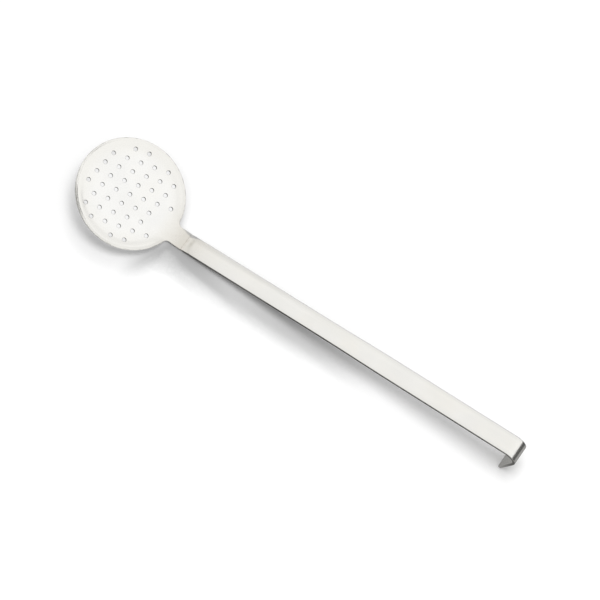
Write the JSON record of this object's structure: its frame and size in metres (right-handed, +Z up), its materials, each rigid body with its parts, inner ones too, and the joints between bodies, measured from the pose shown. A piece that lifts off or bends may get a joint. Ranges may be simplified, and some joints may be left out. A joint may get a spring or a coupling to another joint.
{
  "type": "kitchen skimmer",
  "caption": "Long-handled skimmer: a shallow round perforated dish tilted up from a flat strip handle whose end is bent over into a hanging hook.",
  "frame": {"origin": "on the table, below the middle of the skimmer's bounding box", "axes": "+X from the dish to the hook, +Z up off the table, +Y to the left seen from the dish"},
  "size_m": [0.4526, 0.1, 0.0399],
  "materials": {
    "dish_steel": "polished, fine round scratches",
    "handle_steel": "satin, brushed lengthwise",
    "weld_steel": "ground weld with faint straw heat tint"
  },
  "bodies": {
    "root": {"perforated_dish": "dish_steel", "handle_strip": "handle_steel", "neck_weld": "weld_steel"}
  },
  "joints": []
}
